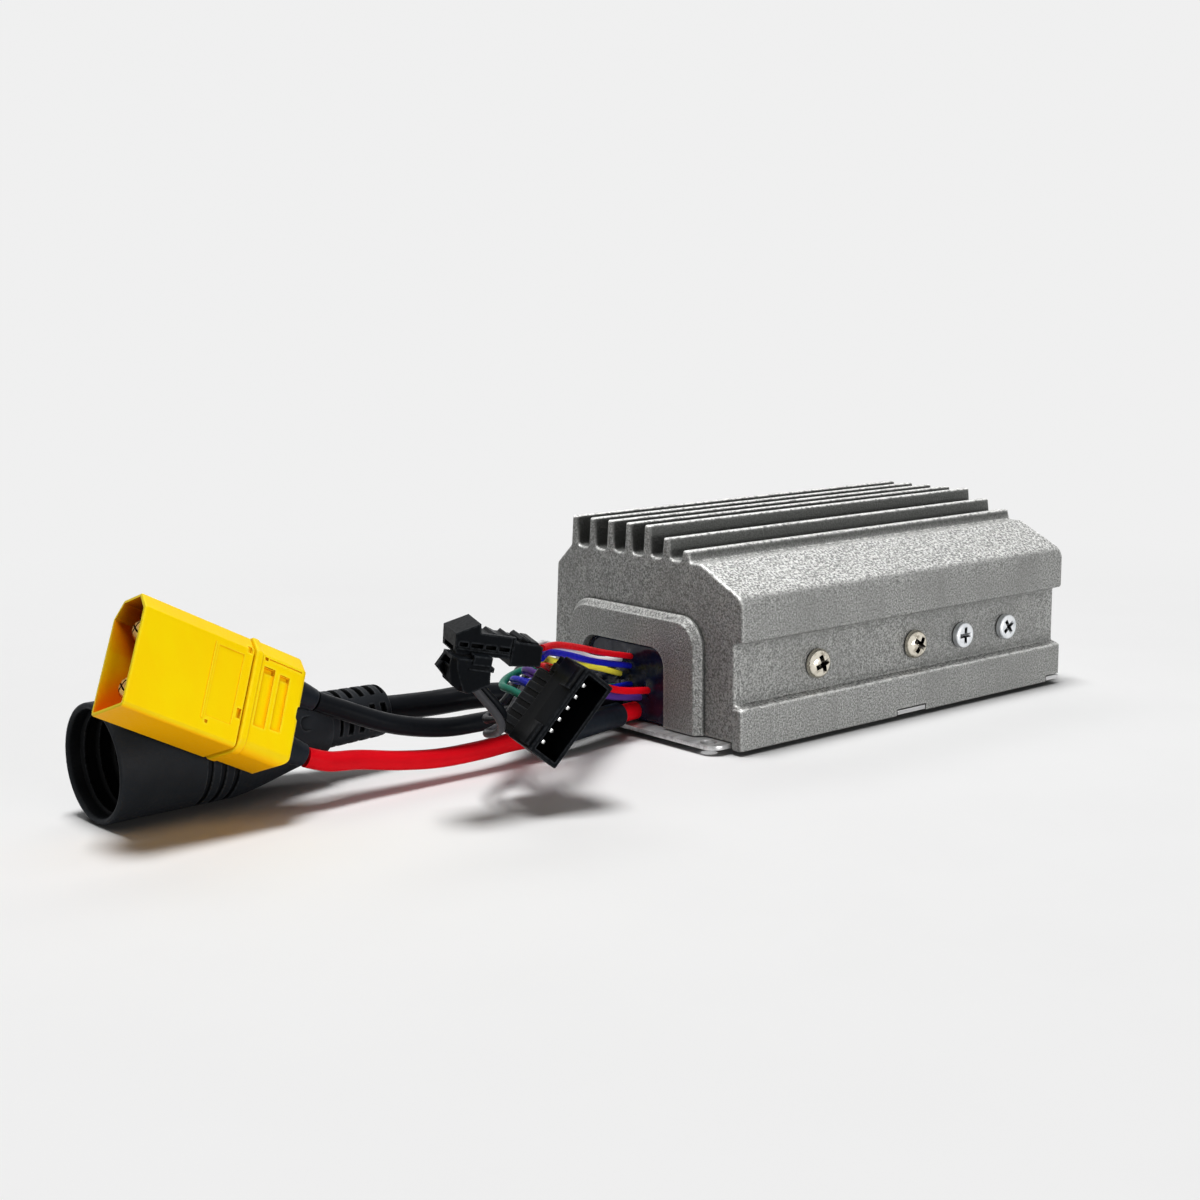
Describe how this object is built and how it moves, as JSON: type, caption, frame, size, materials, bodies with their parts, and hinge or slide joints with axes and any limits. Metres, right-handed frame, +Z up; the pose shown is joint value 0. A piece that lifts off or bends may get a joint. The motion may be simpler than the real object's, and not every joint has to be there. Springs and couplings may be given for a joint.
{
  "type": "electronic speed controller",
  "caption": "Motor speed controller: finned die-cast aluminium housing on a base plate, potted cable outlet, battery plug, round motor connector and small signal connectors on leads.",
  "frame": {"origin": "Under the middle of the housing, on the plane that the heads of the base plate's screws stand on", "axes": "+X along the housing, away from its cables; +Y across it, away from its screwed side; +Z up"},
  "size_m": [0.2341, 0.0715, 0.0445],
  "materials": {
    "cast": "sandy die-cast",
    "plate": "satin",
    "nickel": "polished nickel",
    "zinc": "white zinc plate",
    "potting": "glossy resin",
    "board": "satin",
    "pad": "matt",
    "clamp": "satin",
    "package": "matt epoxy",
    "capacitor": "plastic sleeve",
    "yellow_plastic": "satin moulded",
    "gold": "gold plate",
    "tin": "tin plate",
    "shrink": "satin heat-shrink",
    "connector_rubber": "matt moulded",
    "signal_plastic": "satin moulded",
    "insulation_red": "satin insulation",
    "insulation_black": "satin insulation",
    "insulation_blue": "satin insulation",
    "insulation_yellow": "satin insulation",
    "insulation_white": "satin insulation",
    "insulation_purple": "satin insulation",
    "insulation_green": "satin insulation",
    "insulation_grey": "satin insulation"
  },
  "bodies": {
    "controller": {"finned_housing": "cast", "base_plate": "plate", "side_screw_1": "nickel", "side_screw_2": "nickel", "side_screw_3": "zinc", "side_screw_4": "zinc", "plate_screw_1": "zinc", "plate_screw_2": "zinc", "plate_screw_3": "zinc", "plate_screw_4": "zinc", "cable_potting": "potting", "circuit_board": "board", "thermal_pad": "pad", "mosfet_clamp": "clamp", "mosfet_1": "package", "mosfet_2": "package", "mosfet_3": "package", "mosfet_4": "package", "mosfet_5": "package", "mosfet_6": "package", "controller_chip": "package", "capacitor_1": "capacitor", "capacitor_2": "capacitor", "capacitor_3": "capacitor", "battery_plug_body": "yellow_plastic", "battery_plug_cover": "yellow_plastic", "battery_pin_upper": "gold", "battery_pin_lower": "gold", "heat_shrink_upper": "shrink", "heat_shrink_lower": "shrink", "motor_connector_shell": "connector_rubber", "motor_connector_insert": "connector_rubber", "motor_strain_relief": "connector_rubber", "motor_pin_1": "gold", "motor_pin_2": "gold", "motor_pin_3": "gold", "signal_plug_housing": "signal_plastic", "small_plug_housing": "signal_plastic", "receptacle_housing": "signal_plastic", "signal_pin_1": "tin", "signal_pin_2": "tin", "signal_pin_3": "tin", "signal_pin_4": "tin", "signal_pin_5": "tin", "signal_pin_6": "tin", "motor_cable": "insulation_black", "battery_lead_sleeve": "shrink", "battery_lead_red": "insulation_red", "battery_lead_black": "insulation_black", "plug_wire_red": "insulation_red", "plug_wire_blue": "insulation_blue", "plug_wire_yellow": "insulation_yellow", "plug_wire_white": "insulation_white", "receptacle_wire_red": "insulation_red", "receptacle_wire_purple": "insulation_purple", "receptacle_wire_blue": "insulation_blue", "receptacle_wire_green": "insulation_green", "small_plug_wire_grey": "insulation_grey", "small_plug_wire_black": "insulation_black"},
    "latch": {"signal_plug_latch": "signal_plastic"}
  },
  "joints": [
    {"name": "latch_press", "type": "hinge", "parent": "controller", "child": "latch", "pos_m": [-0.1138, -0.02988, 0.03346], "axis": [0.2867, 0.9525, 0.1022], "range_deg": [0, 6], "stiffness_Nm_per_rad": 0.02}
  ]
}
